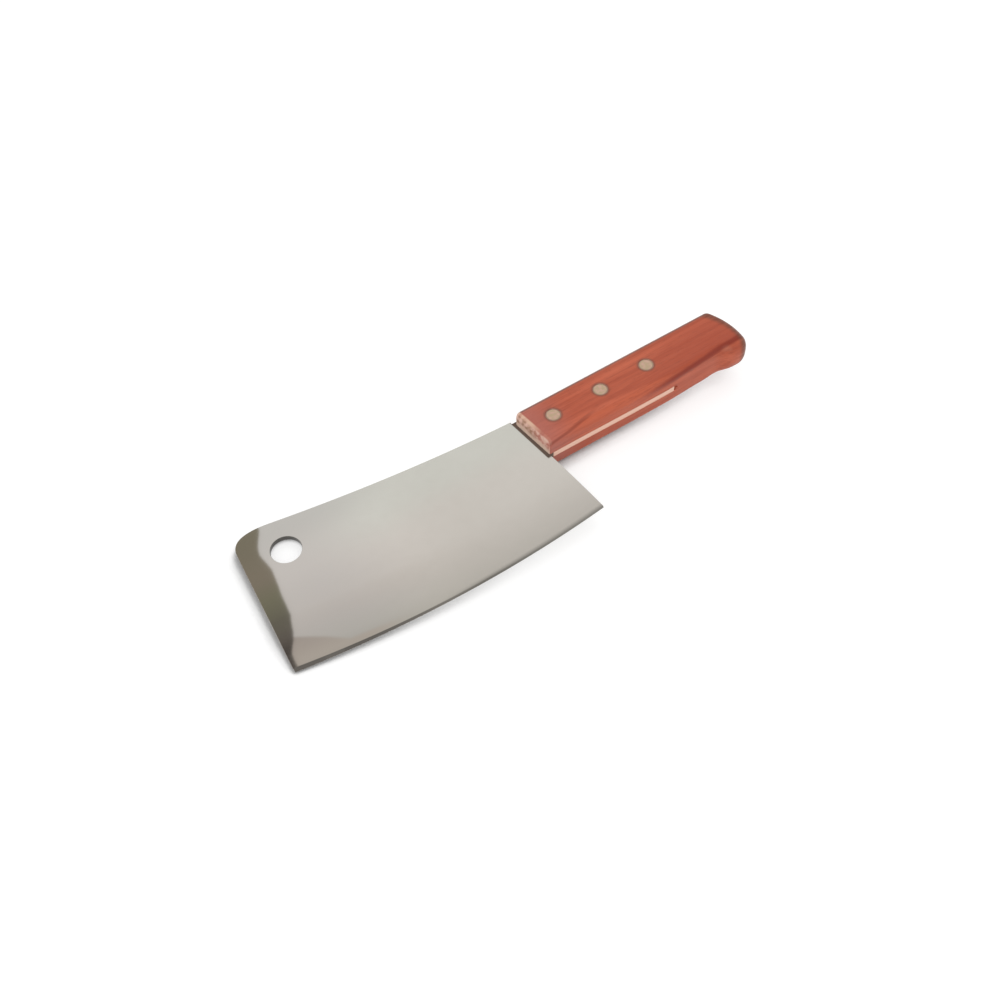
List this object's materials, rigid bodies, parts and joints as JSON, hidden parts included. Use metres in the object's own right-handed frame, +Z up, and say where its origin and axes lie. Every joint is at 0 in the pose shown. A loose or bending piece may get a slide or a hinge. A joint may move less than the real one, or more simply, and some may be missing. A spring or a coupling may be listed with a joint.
{
  "type": "cleaver",
  "caption": "Kitchen cleaver: a broad ground steel blade with a hanging hole near its front corner, and a slotted hardwood handle fixed to the tang by flush compression rivets.",
  "frame": {"origin": "middle of the footprint of the knife as it lies on a table, at the table's height", "axes": "+X from the blade's front towards the handle's butt, +Y from the cutting edge towards the spine, +Z up from the table"},
  "size_m": [0.3028, 0.0922, 0.0276],
  "materials": {
    "blade_steel": "fine satin polish",
    "handle_wood": "lightly lacquered red-brown hardwood",
    "rivet_metal": "satin, ground flush with the wood"
  },
  "bodies": {
    "root": {"blade": "blade_steel", "handle": "handle_wood", "front_rivet_pin": "rivet_metal", "front_rivet_tube": "rivet_metal", "middle_rivet_pin": "rivet_metal", "middle_rivet_tube": "rivet_metal", "rear_rivet_pin": "rivet_metal", "rear_rivet_tube": "rivet_metal"}
  },
  "joints": []
}
